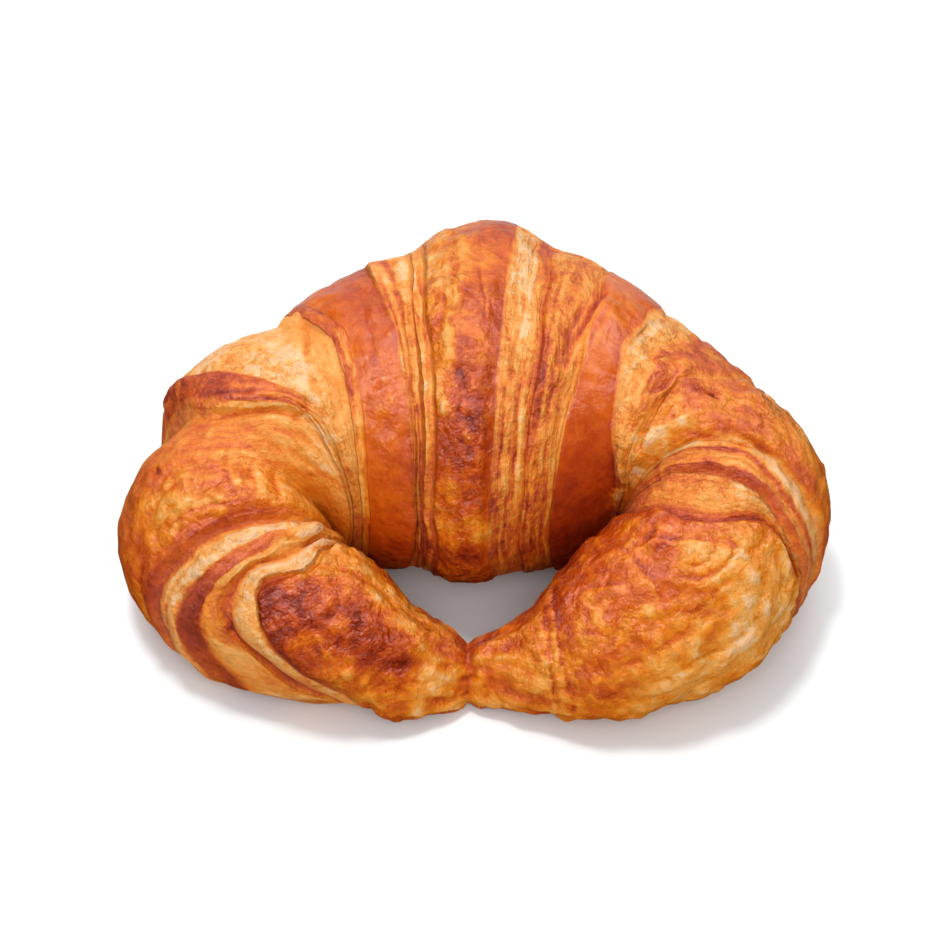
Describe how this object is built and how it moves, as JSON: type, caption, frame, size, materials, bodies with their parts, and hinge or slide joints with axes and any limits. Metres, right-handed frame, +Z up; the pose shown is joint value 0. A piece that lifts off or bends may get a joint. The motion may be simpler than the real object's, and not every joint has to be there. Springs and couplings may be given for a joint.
{
  "type": "croissant",
  "caption": "Curved baked butter croissant with a thick rolled belly, tapering arms and their ends baked together round a small gap.",
  "frame": {"origin": "middle of the bounding box's base, on the flat base that the croissant rests on", "axes": "+Z up; +X from the left shoulder to the right shoulder, the longest way; +Y from the joined ends at the front towards the back of the belly"},
  "size_m": [0.149, 0.1096, 0.0653],
  "materials": {
    "crust": "egg-washed baked crust, glossy red-brown on the raised wraps and matt pale gold between them"
  },
  "bodies": {
    "root": {"croissant": "crust"}
  },
  "joints": []
}
